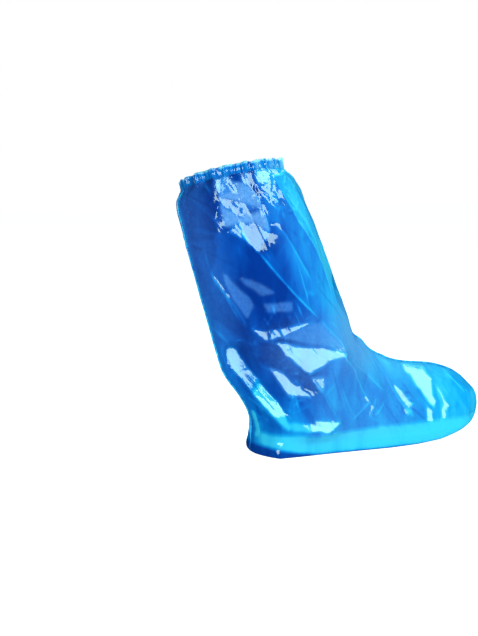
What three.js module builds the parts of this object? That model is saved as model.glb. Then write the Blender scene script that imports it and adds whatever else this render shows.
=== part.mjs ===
// A tall disposable shoe cover of thin plastic film, in the form that it has on a foot and lower leg.
// Two mirrored film panels are cut to the outline of a boot and welded together all round, from the
// front of the top over the instep and the toe, along the middle of the sole and up the back.
// A gathered hem with an elastic band inside closes the top. Millimetres, +Z up, +X towards the toe.
// The origin is on the inside of the sole, where the shoe stands. The outer panel is the one at -Y.
import * as THREE from "three";

// Film, weld and elastic
const FILM = 1.0; // wall of a panel and of the hem
const GAP = 0.3; // clearance between pieces that are welded or laid together
const BEAD_WIDTH = 2.4; // weld bead, across the seam
const BEAD_HEIGHT = 1.6; // how far the bead stands out of the film
const ELASTIC_HEIGHT = 6.0;
const ELASTIC_THICKNESS = 1.2;

// Foot of the cover
const FOOT_LENGTH = 340; // heel end to toe end
const HEEL_TO_ORIGIN = 85;
const INSTEP_HEIGHT = 104; // top of the cover over the toe box
const SOLE_WIDTH = 116; // across the ball of the foot
const HEEL_WIDTH = 96;
const HEEL_ROUNDING = 22; // how far the sides of the heel lie in front of its end
const TOE_LIFT = 20; // lower corner of the toe above the sole

// Leg of the cover
const ANKLE_HEIGHT = 126; // centre of the lowest section of the leg
const ANKLE_FROM_HEEL = 54; // the same point, in front of the heel end
const LEG_LENGTH = 235; // ankle to hem, along the leg
const LEG_LEAN = 19.5; // degrees that the leg leans back
const ANKLE_TILT = 13; // degrees that the lowest section of the leg rises towards the front
const RIM_TILT = 8; // the same at the rim
const RIM_ROLL = 13; // degrees that the rim rises towards the outer panel, where it is pulled up most
const LEG_DEPTH = 180; // front to back
const LEG_WIDTH = 150; // side to side
const RIM_DEPTH = 129;
const RIM_WIDTH = 116;

// Gathers under the elastic, and the hem
const GATHERS = 19; // round the whole rim
const GATHER_HEIGHT = 1.7; // half of a gather's rise and fall at the rim
const GATHER_LENGTH = 62; // how far down the leg the gathers run out
const GATHER_FADE = 1.5; // over 1 where they run out fast at first
const HEM_SLACK = 3.5; // from the edge of the panels up to the elastic
const HEM_TOP = 1.6; // thickness of the gathered film above the elastic
const HEM_LAP = 6; // inner edge of the hem, laid behind the panels
const HEM_RUFFLE = 0.9; // half of the rise and fall of the hem's upper edge

// Facets
const COLUMNS = 38; // round one panel
const LEG_ROWS = 11; // under the lap of the hem
const SLOPE_STEP = 0.004; // of round and down, between the points that give the slope of a wall
const RADIANS = Math.PI / 180;

// The leg under the hem. up: share of LEG_LENGTH. depth and width: shares of LEG_DEPTH and LEG_WIDTH.
// front_edge and back_edge: 0 where the wall is round at the seam, 1 where the panels meet in a sharp edge.
const LEG_SECTIONS = [
  { up: 0.935, depth: 0.87, width: 0.95, front_edge: 0.15, back_edge: 0.15 },
  { up: 0.82, depth: 0.91, width: 1.0, front_edge: 0.3, back_edge: 0.25 },
  { up: 0.62, depth: 0.96, width: 1.0, front_edge: 0.4, back_edge: 0.3 },
  { up: 0.43, depth: 0.99, width: 0.98, front_edge: 0.45, back_edge: 0.4 },
  { up: 0.28, depth: 1.01, width: 0.95, front_edge: 0.45, back_edge: 0.55 },
  { up: 0.13, depth: 1.03, width: 0.92, front_edge: 0.4, back_edge: 0.7 },
  { up: 0.0, depth: 1.03, width: 0.88, front_edge: 0.35, back_edge: 0.75 },
];

// From the ankle round the heel. top_along: share of the way from the front of the ankle to the toe end.
// bend: how much of the ankle's height over the instep, and of its width over the heel, is left.
// low_back, low_up: shares of how far the back of the ankle lies behind and above the heel.
// flat: 0 where the lower end is an edge, 1 where it is the flat sole. round: share of HEEL_ROUNDING.
const HEEL_SECTIONS = [
  { top_along: 0.07, bend: 0.74, low_back: 0.36, low_up: 0.7, edge: 0.3, flat: 0, round: 0.1 },
  { top_along: 0.13, bend: 0.45, low_back: -0.02, low_up: 0.42, edge: 0.3, flat: 0.15, round: 0.4 },
  { top_along: 0.19, bend: 0.28, low_back: 0.0, low_up: 0.15, edge: 0.3, flat: 0.6, round: 0.8 },
  { top_along: 0.24, bend: 0.18, low_back: -0.04, low_up: 0.0, edge: 0.3, flat: 1, round: 1 },
];

// Along the foot. top_along as above. top_up: share of INSTEP_HEIGHT. low_along: share of FOOT_LENGTH.
// width: share of HEEL_WIDTH where ball is 0 and of SOLE_WIDTH where it is 1. lift: share of TOE_LIFT.
const FOOT_SECTIONS = [
  { top_along: 0.29, top_up: 1.03, low_along: 0.1, width: 1.07, ball: 0.1, lift: 0, edge: 0.3, flat: 1 },
  { top_along: 0.35, top_up: 0.995, low_along: 0.23, width: 1.03, ball: 0.35, lift: 0, edge: 0.3, flat: 1 },
  { top_along: 0.43, top_up: 0.965, low_along: 0.37, width: 1.0, ball: 0.7, lift: 0, edge: 0.28, flat: 1 },
  { top_along: 0.52, top_up: 0.945, low_along: 0.51, width: 1.0, ball: 1, lift: 0, edge: 0.25, flat: 1 },
  { top_along: 0.62, top_up: 0.92, low_along: 0.64, width: 1.0, ball: 1, lift: 0.04, edge: 0.2, flat: 1 },
  { top_along: 0.72, top_up: 0.87, low_along: 0.75, width: 0.98, ball: 1, lift: 0.2, edge: 0.15, flat: 1 },
  { top_along: 0.81, top_up: 0.8, low_along: 0.84, width: 0.92, ball: 1, lift: 0.5, edge: 0.12, flat: 0.9 },
  { top_along: 0.89, top_up: 0.7, low_along: 0.912, width: 0.76, ball: 1, lift: 0.78, edge: 0.1, flat: 0.7 },
  { top_along: 0.955, top_up: 0.575, low_along: 0.96, width: 0.52, ball: 1, lift: 0.92, edge: 0.1, flat: 0.35 },
  { top_along: 0.99, top_up: 0.43, low_along: 0.985, width: 0.0, ball: 1, lift: 1, edge: 0, flat: 0 },
];

// The main folds and dents of each panel. round: 0 at the front seam, 1 at the seam of the back and sole.
// down: 0 at the hem, 1 at the ankle, 2 at the toe. rise: height of the fold in mm, negative for a dent.
// spread: half of its width in mm.
const OUTER_FOLDS = [
  { part: "shin crease", round: [0.36, 0.24], down: [0.12, 0.75], rise: 5, spread: 24 },
  { part: "shin crease over the instep", round: [0.24, 0.45], down: [0.75, 1.35], rise: 3, spread: 20 },
  { part: "front flute", round: [0.16, 0.12], down: [0.3, 0.85], rise: -4, spread: 18 },
  { part: "calf hollow", round: [0.68, 0.58], down: [0.35, 0.8], rise: -5, spread: 34 },
  { part: "fold over the ankle", round: [0.3, 0.72], down: [0.92, 0.8], rise: 4, spread: 18 },
  { part: "ankle hollow", round: [0.36, 0.64], down: [1.02, 1.0], rise: -5, spread: 22 },
  { part: "heel fold", round: [0.84, 0.58], down: [0.9, 1.3], rise: 5, spread: 16 },
  { part: "toe fold", round: [0.1, 0.5], down: [1.6, 1.7], rise: 3, spread: 16 },
];
const INNER_FOLDS = [
  { part: "shin crease", round: [0.38, 0.28], down: [0.1, 0.7], rise: 4, spread: 24 },
  { part: "calf fold", round: [0.72, 0.68], down: [0.2, 0.7], rise: 4, spread: 26 },
  { part: "calf hollow", round: [0.52, 0.5], down: [0.3, 0.75], rise: -4, spread: 30 },
  { part: "fold over the ankle", round: [0.24, 0.7], down: [0.98, 0.86], rise: 4.5, spread: 20 },
  { part: "ankle hollow", round: [0.3, 0.64], down: [1.08, 1.06], rise: -4.5, spread: 20 },
  { part: "heel fold", round: [0.82, 0.6], down: [0.95, 1.25], rise: 4, spread: 18 },
  { part: "toe fold", round: [0.16, 0.5], down: [1.55, 1.65], rise: 2.5, spread: 18 },
];

// The form of a fold. sharpness: over 1 where its sides are hollow. ends: how much of its rise it has at
// its ends, as a share of half a turn. seam_clear and sole_clear: shares of the way round over which
// folds run out beside a seam and above the sole.
const FOLD_FORM = { sharpness: 1.3, ends: 0.15, seam_clear: 0.08, sole_clear: 0.12 };

const HEEL_RUN = 0.3; // share of the foot over which the heel's rounding runs out
const BEAD_SINK = 0.5; // share of the way from the front seam to the sole where the bead is level with it

// The flat sole and the rounded corner beside it, as shares of one section of the foot.
const SOLE = { corner_from: 0.66, flat_from: 0.8, flat_width: 0.9, corner_height: 0.11 };

const mix = (a, b, share) => a + (b - a) * share;
const limit = (value, low, high) => Math.max(low, Math.min(high, value));
const seamSide = BEAD_WIDTH / 2 + GAP; // a panel's edge, beside the middle plane

// Points (x, z) in the middle plane
const legUp = new THREE.Vector2(-Math.sin(LEG_LEAN * RADIANS), Math.cos(LEG_LEAN * RADIANS));
const risingBy = (tilt) => new THREE.Vector2(Math.cos(tilt * RADIANS), Math.sin(tilt * RADIANS));
const rimAcross = risingBy(RIM_TILT);
const rimUp = new THREE.Vector3(-rimAcross.y, 0, rimAcross.x);
const heelX = -HEEL_TO_ORIGIN;
const toeX = FOOT_LENGTH - HEEL_TO_ORIGIN;

function legSection(up, depth, width, front_edge, back_edge) {
  const ankleCentre = new THREE.Vector2(heelX + ANKLE_FROM_HEEL, ANKLE_HEIGHT);
  const centre = ankleCentre.addScaledVector(legUp, up * LEG_LENGTH);
  const toFront = risingBy(mix(ANKLE_TILT, RIM_TILT, up)).multiplyScalar(depth / 2);
  return {
    frontX: centre.x + toFront.x,
    frontZ: centre.y + toFront.y,
    backX: centre.x - toFront.x,
    backZ: centre.y - toFront.y,
    halfWidth: width / 2,
    front_edge,
    back_edge,
    flat: 0,
    rounding: 0,
  };
}

const legSections = [
  legSection(1, RIM_DEPTH, RIM_WIDTH, 0, 0),
  ...LEG_SECTIONS.map((row) =>
    legSection(row.up, row.depth * LEG_DEPTH, row.width * LEG_WIDTH, row.front_edge, row.back_edge),
  ),
];
const ankle = legSections[legSections.length - 1];

const heelSections = HEEL_SECTIONS.map((row) => ({
  frontX: mix(ankle.frontX, toeX, row.top_along),
  frontZ: mix(INSTEP_HEIGHT, ankle.frontZ, row.bend),
  backX: mix(heelX, ankle.backX, row.low_back),
  backZ: ankle.backZ * row.low_up - FILM,
  halfWidth: mix(HEEL_WIDTH / 2, ankle.halfWidth, row.bend),
  front_edge: row.edge,
  back_edge: row.edge,
  flat: row.flat,
  rounding: row.round * HEEL_ROUNDING,
}));

const footSections = FOOT_SECTIONS.map((row) => ({
  frontX: mix(ankle.frontX, toeX, row.top_along),
  frontZ: row.top_up * INSTEP_HEIGHT,
  backX: mix(heelX, toeX, row.low_along),
  backZ: row.lift * TOE_LIFT - FILM,
  halfWidth: (row.width * mix(HEEL_WIDTH, SOLE_WIDTH, row.ball)) / 2,
  front_edge: row.edge,
  back_edge: row.edge,
  flat: row.flat,
  rounding: Math.max(0, 1 - row.low_along / HEEL_RUN) * HEEL_ROUNDING,
}));

const sections = [...legSections, ...heelSections, ...footSections];
const ankleIndex = legSections.length - 1;
const toeIndex = sections.length - 1;

// The section at any place. down: 0 at the hem, 1 at the ankle, 2 at the toe.
function sectionAt(down) {
  const place = down < 1 ? down * ankleIndex : mix(ankleIndex, toeIndex, down - 1);
  const i = limit(Math.floor(place), 0, toeIndex - 1);
  const t = place - i;
  const [a, b, c, d] = [i - 1, i, i + 1, i + 2].map((k) => sections[limit(k, 0, toeIndex)]);
  const smooth = (key) =>
    b[key] +
    0.5 * t * (c[key] - a[key] + t * (2 * a[key] - 5 * b[key] + 4 * c[key] - d[key])) +
    0.5 * t ** 3 * (3 * (b[key] - c[key]) + d[key] - a[key]);
  const straight = (key) => mix(b[key], c[key], t);
  return {
    frontX: smooth("frontX"),
    frontZ: smooth("frontZ"),
    backX: smooth("backX"),
    backZ: straight("backZ"),
    halfWidth: Math.max(0, smooth("halfWidth")),
    front_edge: straight("front_edge"),
    back_edge: straight("back_edge"),
    flat: straight("flat"),
    rounding: straight("rounding"),
  };
}

// A section without a sole: height and width shares at a share of the way round from the front seam.
function roundProfile(round, front_edge, back_edge) {
  const sine = Math.sin(round * Math.PI);
  const edge = round < 0.5 ? front_edge : back_edge;
  return [(1 + Math.cos(round * Math.PI)) / 2, sine * (1 - edge + edge * sine)];
}

// A section on the flat sole, with a rounded corner beside it.
function soleProfile(round, front_edge) {
  const { corner_from, flat_from, flat_width, corner_height } = SOLE;
  if (round >= flat_from) return [0, (flat_width * (1 - round)) / (1 - flat_from)];
  if (round >= corner_from) {
    const turn = ((round - corner_from) / (flat_from - corner_from)) * (Math.PI / 2);
    return [corner_height * (1 - Math.sin(turn)), mix(flat_width, 1, Math.cos(turn))];
  }
  const turn = (round / corner_from) * (Math.PI / 2);
  const sine = Math.sin(turn);
  return [mix(corner_height, 1, Math.cos(turn)), sine * (1 - front_edge + front_edge * sine)];
}

// The smooth outside of a panel, without gathers or folds. side: -1 outer panel, 1 inner panel.
function smoothWall(round, down, side) {
  const s = sectionAt(down);
  const [roundHeight, roundWidth] = roundProfile(round, s.front_edge, s.back_edge);
  const [soleHeight, soleWidth] = soleProfile(round, s.front_edge);
  const height = mix(roundHeight, soleHeight, s.flat);
  const width = mix(roundWidth, soleWidth, s.flat);
  const x = mix(s.backX, s.frontX, height) + s.rounding * width ** 2 * (1 - height);
  const across = side * width * s.halfWidth;
  const rolled = -across * Math.tan(RIM_ROLL * RADIANS) * Math.max(0, 1 - down);
  const flatPoint = new THREE.Vector3(x, side * seamSide + across, mix(s.backZ, s.frontZ, height));
  return flatPoint.addScaledVector(rimUp, rolled);
}

// The outward direction of a wall that is given as a function of round and down.
function outward(wall, round, down, side) {
  const step = SLOPE_STEP;
  const alongRound = wall(limit(round + step, 0, 1), down).sub(wall(limit(round - step, 0, 1), down));
  const alongDown = wall(round, limit(down + step, 0, 2)).sub(wall(round, limit(down - step, 0, 2)));
  return alongRound.cross(alongDown).normalize().multiplyScalar(-side);
}

// Height of the folds at one place. They keep clear of the seam, of the gathers and of the flat sole.
function foldHeight(folds, smooth, round, down) {
  const { sharpness, ends, seam_clear, sole_clear } = FOLD_FORM;
  const here = smooth(round, down);
  let height = 0;
  for (const fold of folds) {
    const line = new THREE.Line3(smooth(fold.round[0], fold.down[0]), smooth(fold.round[1], fold.down[1]));
    const along = line.closestPointToPointParameter(here, true);
    const away = line.at(along, new THREE.Vector3()).distanceTo(here) / fold.spread;
    const taper = Math.sin(Math.PI * mix(ends, 1 - ends, along));
    if (away < 1) height += fold.rise * taper * (1 - away) ** sharpness;
  }
  const besideSeam = limit(Math.min(round, 1 - round) / seam_clear, 0, 1);
  const aboveSole = limit((SOLE.corner_from - round) / sole_clear, 0, 1);
  return height * besideSeam * mix(1, aboveSole, sectionAt(down).flat);
}

// How strong the gathers are: 1 at the hem, 0 from GATHER_LENGTH down.
const gathered = (down) => Math.max(0, 1 - (down * LEG_LENGTH) / GATHER_LENGTH) ** GATHER_FADE;
const gatherWave = (round) => Math.cos(GATHERS * Math.PI * round);

// The outside of a panel with its gathers and folds.
function panelWall(folds, side) {
  const smooth = (round, down) => smoothWall(round, down, side);
  return (round, down) => {
    const gathers = gathered(down);
    const folded = foldHeight(folds, smooth, round, down) * (1 - gathers);
    const rise = GATHER_HEIGHT * gathers * gatherWave(round) + folded;
    const p = smooth(round, down).addScaledVector(outward(smooth, round, down, side), rise);
    p.y = side * Math.max(seamSide, side * p.y);
    return p;
  };
}

// A closed body from rings of points. Each ring is closed, and so is their row if closed is true.
function ringsGeometry(rings, closed) {
  const size = rings[0].length;
  const index = [];
  const triangle = (a, b, c) => index.push(a, b, c);
  for (let r = 0; r < rings.length - (closed ? 0 : 1); r++)
    for (let k = 0; k < size; k++) {
      const [a, b] = [r * size + k, r * size + ((k + 1) % size)];
      const [c, d] = [a, b].map((v) => (v + size) % (rings.length * size));
      triangle(a, b, d);
      triangle(a, d, c);
    }
  return { positions: rings.flat().flatMap((p) => p.toArray()), index, triangle, size };
}

function geometryFrom({ positions, index }) {
  const geometry = new THREE.BufferGeometry();
  geometry.setAttribute("position", new THREE.Float32BufferAttribute(positions, 3));
  geometry.setIndex(index);
  geometry.computeVertexNormals();
  return geometry;
}

const PANEL_SIDES = [
  { name: "outer_panel", side: -1, wall: panelWall(OUTER_FOLDS, -1) },
  { name: "inner_panel", side: 1, wall: panelWall(INNER_FOLDS, 1) },
];

// Rows of facets down a panel. The first ends at the edge of the hem's lap, and those of the foot
// are at its sections.
const lapDown = HEM_LAP / LEG_LENGTH;
const footRows = toeIndex - ankleIndex;
const rows = [
  0,
  ...Array.from({ length: LEG_ROWS }, (_, r) => mix(lapDown, 1, r / LEG_ROWS)),
  ...Array.from({ length: footRows + 1 }, (_, r) => 1 + r / footRows),
];

function insideOf({ wall, side }, round, down, depth) {
  const q = wall(round, down).addScaledVector(outward(wall, round, down, side), -depth);
  q.y = side * Math.max(seamSide, side * q.y);
  return q;
}

// One film panel: half of the leg, of the foot and of the sole. Each ring goes over the outside from one
// seam to the other, and returns on the inside.
function panelGeometry(panel) {
  const rings = rows.map((down) => {
    const outside = [];
    const inside = [];
    for (let c = 0; c <= COLUMNS; c++) {
      outside.push(panel.wall(c / COLUMNS, down));
      inside.unshift(insideOf(panel, c / COLUMNS, down, FILM));
    }
    const ring = [...outside, ...inside];
    return panel.side < 0 ? ring : ring.reverse();
  });
  const body = ringsGeometry(rings, false);
  const last = (rings.length - 1) * body.size;
  for (let c = 0; c < COLUMNS; c++) {
    const [a, b, back, front] = [c, c + 1, body.size - 2 - c, body.size - 1 - c];
    body.triangle(a, back, b);
    body.triangle(a, front, back);
    body.triangle(last + a, last + b, last + back);
    body.triangle(last + a, last + back, last + front);
  }
  return geometryFrom(body);
}

// The weld bead between the panels, in the middle plane. It stands out of the film, but not on the sole.
function weldGeometry() {
  const panel = PANEL_SIDES[0];
  const edge = (round, down) => {
    const p = panel.wall(round, down);
    const point = new THREE.Vector3(p.x, 0, p.z);
    return { point, inward: outward(panel.wall, round, down, panel.side), sole: round * sectionAt(down).flat };
  };
  const path = [...rows.map((down) => edge(0, down)), ...rows.toReversed().map((down) => edge(1, down))];
  const rings = path.map(({ point, inward, sole }, i) => {
    const before = path[Math.max(0, i - 1)].point;
    const after = path[Math.min(path.length - 1, i + 1)].point;
    const tangent = after.clone().sub(before).normalize();
    const atHem = i === 0 || i === path.length - 1;
    if (atHem) tangent.copy(rimUp).multiplyScalar(i === 0 ? -1 : 1);
    const out = new THREE.Vector3(-tangent.z, 0, tangent.x);
    const inner = point.clone().addScaledVector(atHem ? inward : out, -FILM);
    const top = mix(BEAD_HEIGHT, -GAP, Math.min(1, sole / BEAD_SINK));
    const at = (across, height) => point.clone().addScaledVector(out, height).add(new THREE.Vector3(0, across, 0));
    return [
      new THREE.Vector3(inner.x, -BEAD_WIDTH / 2, inner.z),
      new THREE.Vector3(inner.x, BEAD_WIDTH / 2, inner.z),
      at(BEAD_WIDTH / 2, Math.min(top, BEAD_HEIGHT / 2)),
      at(0, top),
      at(-BEAD_WIDTH / 2, Math.min(top, BEAD_HEIGHT / 2)),
    ];
  });
  const body = ringsGeometry(rings, false);
  const last = (rings.length - 1) * body.size;
  for (let k = 1; k < body.size - 1; k++) {
    body.triangle(0, k + 1, k);
    body.triangle(last, last + k, last + k + 1);
  }
  return geometryFrom(body);
}

// Places round the whole rim: the outer panel from front to back, then the inner panel from back to front.
const rimPlaces = PANEL_SIDES.flatMap((panel, p) =>
  Array.from({ length: COLUMNS + 1 }, (_, c) => ({ panel, round: p === 0 ? c / COLUMNS : 1 - c / COLUMNS })),
);

// A place on the rim: the panel's upper edge, and the direction out of the hem, level with the rim.
function rimFrame({ panel, round }) {
  const edge = panel.wall(round, 0);
  const level = outward((r, d) => smoothWall(r, d, panel.side), round, 0, panel.side);
  level.addScaledVector(rimUp, -level.dot(rimUp)).normalize();
  return { edge, level };
}

// The hem's channel, measured out from the outside of the panels and up from their edge
const channelCentre = -(FILM + GAP);
const channelSide = ELASTIC_THICKNESS / 2 + 2 * GAP;
const channelLow = HEM_SLACK - GAP;
const channelHigh = HEM_SLACK + ELASTIC_HEIGHT + GAP;

// The hem: the film is folded over the elastic, from the upper edge of the panels to a lap behind them.
function hemGeometry() {
  const rings = rimPlaces.map((place) => {
    const { edge, level } = rimFrame(place);
    const { panel, round } = place;
    const top = channelHigh + HEM_TOP + HEM_RUFFLE * gatherWave(round);
    const at = (out, up) => edge.clone().addScaledVector(level, channelCentre + out).addScaledVector(rimUp, up);
    const behind = (depth, down) =>
      panel.wall(round, down).addScaledVector(outward(panel.wall, round, down, panel.side), -depth);
    const wallSide = channelSide + FILM;
    return [
      edge.clone().addScaledVector(rimUp, GAP),
      at(wallSide, channelLow),
      at(wallSide, channelHigh),
      at(0, top),
      at(-wallSide, channelHigh),
      at(-wallSide, channelLow),
      behind(2 * FILM + 2 * GAP, lapDown),
      behind(FILM + 2 * GAP, lapDown),
      behind(FILM + 2 * GAP, 0),
      at(-channelSide, channelLow),
      at(-channelSide, channelHigh),
      at(channelSide, channelHigh),
      at(channelSide, channelLow),
      behind(FILM, 0).addScaledVector(rimUp, GAP),
    ];
  });
  return geometryFrom(ringsGeometry(rings, true));
}

// The elastic band, a flat strip that lies in the channel of the hem.
function elasticGeometry() {
  const rings = rimPlaces.map((place) => {
    const { edge, level } = rimFrame(place);
    const middle = HEM_SLACK + ELASTIC_HEIGHT / 2;
    const at = (out, up) => edge.clone().addScaledVector(level, channelCentre + out).addScaledVector(rimUp, middle + up);
    const [thick, high] = [ELASTIC_THICKNESS / 2, ELASTIC_HEIGHT / 2];
    return [at(thick, -high), at(thick, high), at(-thick, high), at(-thick, -high)];
  });
  return geometryFrom(ringsGeometry(rings, true));
}

const film = new THREE.MeshStandardMaterial({ color: 0x1a74dc, roughness: 0.15, metalness: 0 });
const weld = new THREE.MeshStandardMaterial({ color: 0x2aa0ea, roughness: 0.25, metalness: 0 });
const rubber = new THREE.MeshStandardMaterial({ color: 0xb9d4e6, roughness: 0.7, metalness: 0 });

const cover = new THREE.Group();

function add(name, geometry, material) {
  const mesh = new THREE.Mesh(geometry, material);
  mesh.name = name;
  cover.add(mesh);
}

for (const panel of PANEL_SIDES) add(panel.name, panelGeometry(panel), film);
add("seam_weld", weldGeometry(), weld);
add("top_hem", hemGeometry(), film);
add("elastic_band", elasticGeometry(), rubber);

export default cover;
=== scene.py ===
import math
import bpy
import numpy as np
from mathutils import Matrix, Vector


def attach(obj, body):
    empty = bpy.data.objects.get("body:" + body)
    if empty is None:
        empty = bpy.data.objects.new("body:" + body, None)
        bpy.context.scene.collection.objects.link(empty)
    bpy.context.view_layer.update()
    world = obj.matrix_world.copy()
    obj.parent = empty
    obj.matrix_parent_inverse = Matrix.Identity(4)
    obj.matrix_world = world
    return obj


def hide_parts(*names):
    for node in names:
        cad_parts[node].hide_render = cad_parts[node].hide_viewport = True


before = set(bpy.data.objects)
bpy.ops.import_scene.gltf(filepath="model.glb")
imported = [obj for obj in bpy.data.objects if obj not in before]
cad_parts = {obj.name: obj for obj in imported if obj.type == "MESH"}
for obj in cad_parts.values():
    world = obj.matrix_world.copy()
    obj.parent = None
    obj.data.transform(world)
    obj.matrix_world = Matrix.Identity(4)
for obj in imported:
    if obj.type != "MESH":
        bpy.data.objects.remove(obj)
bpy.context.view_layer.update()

# Camera
# It stands at knee height beside the heel, about a metre and a half away, and looks slightly down.
# The cover stands to the right of the middle, as in the photograph.
FOCAL_PIXELS = 1134.0
PICTURE_HEIGHT = 636.0
SENSOR = 36.0
CAMERA_PLACE = (-0.656, -1.3063, 0.383)
CAMERA_DOWN = 8.35
CAMERA_TURN = -23.0
camera_data = bpy.data.cameras.new("camera")
camera_data.sensor_width = SENSOR
camera_data.lens = FOCAL_PIXELS / PICTURE_HEIGHT * SENSOR
camera = bpy.data.objects.new("camera", camera_data)
camera.location = CAMERA_PLACE
camera.rotation_euler = (math.radians(90.0 - CAMERA_DOWN), 0.0, math.radians(CAMERA_TURN))
bpy.context.scene.collection.objects.link(camera)
bpy.context.scene.camera = camera


# Film panels
# Two pieces of polyethylene film, about 0.07 mm thick, are cut to the side view of a boot and welded
# together round the edge. Worn, they stand in folds, and each facet between the folds is nearly flat.
# Sizes are in metres, and the tables of sections hold shares of them.
FOOT_LENGTH = 0.340
HEEL_TO_ORIGIN = 0.085
INSTEP_HEIGHT = 0.104
SOLE_WIDTH = 0.116
HEEL_WIDTH = 0.096
HEEL_ROUNDING = 0.022
HEEL_RUN = 0.3
TOE_LIFT = 0.020
ANKLE_HEIGHT = 0.126
ANKLE_FROM_HEEL = 0.054
LEG_LENGTH = 0.235
LEG_LEAN = math.radians(19.5)
ANKLE_TILT = math.radians(13.0)
RIM_TILT = math.radians(8.0)
RIM_ROLL = math.radians(13.0)
LEG_DEPTH = 0.180
LEG_WIDTH = 0.150
RIM_DEPTH = 0.129
RIM_WIDTH = 0.116
RIM_UP = np.array([-math.sin(RIM_TILT), 0.0, math.cos(RIM_TILT)])
FILM = 0.001
SEAM_SIDE = 0.0004

# up, depth, width, front edge, back edge
LEG_SECTIONS = [
    (0.935, 0.87, 0.95, 0.15, 0.15),
    (0.82, 0.91, 1.0, 0.3, 0.25),
    (0.62, 0.96, 1.0, 0.4, 0.3),
    (0.43, 0.99, 0.98, 0.45, 0.4),
    (0.28, 1.01, 0.95, 0.45, 0.55),
    (0.13, 1.03, 0.92, 0.4, 0.7),
    (0.0, 1.03, 0.88, 0.35, 0.75),
]
# top along, bend, low back, low up, edge, flat, rounding
HEEL_SECTIONS = [
    (0.07, 0.74, 0.36, 0.7, 0.3, 0.0, 0.1),
    (0.13, 0.45, -0.02, 0.42, 0.3, 0.15, 0.4),
    (0.19, 0.28, 0.0, 0.15, 0.3, 0.6, 0.8),
    (0.24, 0.18, -0.04, 0.0, 0.3, 1.0, 1.0),
]
# top along, top up, low along, width, ball, lift, edge, flat
FOOT_SECTIONS = [
    (0.29, 1.03, 0.1, 1.07, 0.1, 0.0, 0.3, 1.0),
    (0.35, 0.995, 0.23, 1.03, 0.35, 0.0, 0.3, 1.0),
    (0.43, 0.965, 0.37, 1.0, 0.7, 0.0, 0.28, 1.0),
    (0.52, 0.945, 0.51, 1.0, 1.0, 0.0, 0.25, 1.0),
    (0.62, 0.92, 0.64, 1.0, 1.0, 0.04, 0.2, 1.0),
    (0.72, 0.87, 0.75, 0.98, 1.0, 0.2, 0.15, 1.0),
    (0.81, 0.8, 0.84, 0.92, 1.0, 0.5, 0.12, 0.9),
    (0.89, 0.7, 0.912, 0.76, 1.0, 0.78, 0.1, 0.7),
    (0.955, 0.575, 0.96, 0.52, 1.0, 0.92, 0.1, 0.35),
    (0.99, 0.43, 0.985, 0.0, 1.0, 1.0, 0.0, 0.0),
]
SOLE_CORNER_FROM = 0.66
SOLE_FLAT_FROM = 0.8
SOLE_FLAT_WIDTH = 0.9
SOLE_CORNER_HEIGHT = 0.11


def mix(a, b, share):
    return a + (b - a) * share


def boot_sections():
    """Front x and z, back x and z, half width, front edge, back edge, flat and rounding of each section."""
    heel_x, toe_x = -HEEL_TO_ORIGIN, FOOT_LENGTH - HEEL_TO_ORIGIN
    rim = (1.0, RIM_DEPTH / LEG_DEPTH, RIM_WIDTH / LEG_WIDTH, 0, 0)
    rows = []
    for up, depth, width, front_edge, back_edge in [rim] + LEG_SECTIONS:
        centre = np.array([heel_x + ANKLE_FROM_HEEL, ANKLE_HEIGHT])
        centre += up * LEG_LENGTH * np.array([-math.sin(LEG_LEAN), math.cos(LEG_LEAN)])
        tilt = mix(ANKLE_TILT, RIM_TILT, up)
        half = np.array([math.cos(tilt), math.sin(tilt)]) * depth * LEG_DEPTH / 2
        ends = [*(centre + half), *(centre - half)]
        rows.append([*ends, width * LEG_WIDTH / 2, front_edge, back_edge, 0.0, 0.0])
    front_x, front_z, back_x, back_z, half_width = rows[-1][:5]
    for top_along, bend, low_back, low_up, edge, flat, rounding in HEEL_SECTIONS:
        rows.append([
            mix(front_x, toe_x, top_along), mix(INSTEP_HEIGHT, front_z, bend),
            mix(heel_x, back_x, low_back), back_z * low_up - FILM,
            mix(HEEL_WIDTH / 2, half_width, bend), edge, edge, flat, rounding * HEEL_ROUNDING,
        ])
    for top_along, top_up, low_along, width, ball, lift, edge, flat in FOOT_SECTIONS:
        rows.append([
            mix(front_x, toe_x, top_along), top_up * INSTEP_HEIGHT,
            mix(heel_x, toe_x, low_along), lift * TOE_LIFT - FILM,
            width * mix(HEEL_WIDTH, SOLE_WIDTH, ball) / 2, edge, edge, flat,
            max(0.0, 1 - low_along / HEEL_RUN) * HEEL_ROUNDING,
        ])
    return np.array(rows)


SECTIONS = boot_sections()
ANKLE_ROW = len(LEG_SECTIONS)
TOE_ROW = len(SECTIONS) - 1


def section_at(down):
    """The section at a place between the rim, the ankle and the toe: smooth in its ends and its width."""
    place = np.where(down < 1, down * ANKLE_ROW, ANKLE_ROW + (down - 1) * (TOE_ROW - ANKLE_ROW))
    i = np.clip(np.floor(place).astype(int), 0, TOE_ROW - 1)
    t = (place - i)[..., None]
    a, b, c, d = (SECTIONS[np.clip(i + k, 0, TOE_ROW)] for k in (-1, 0, 1, 2))
    smooth = b + 0.5 * t * (c - a + t * (2 * a - 5 * b + 4 * c - d)) + 0.5 * t**3 * (3 * (b - c) + d - a)
    value = b + (c - b) * t
    value[..., :3] = smooth[..., :3]
    value[..., 4] = np.maximum(0.0, smooth[..., 4])
    return value


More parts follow.
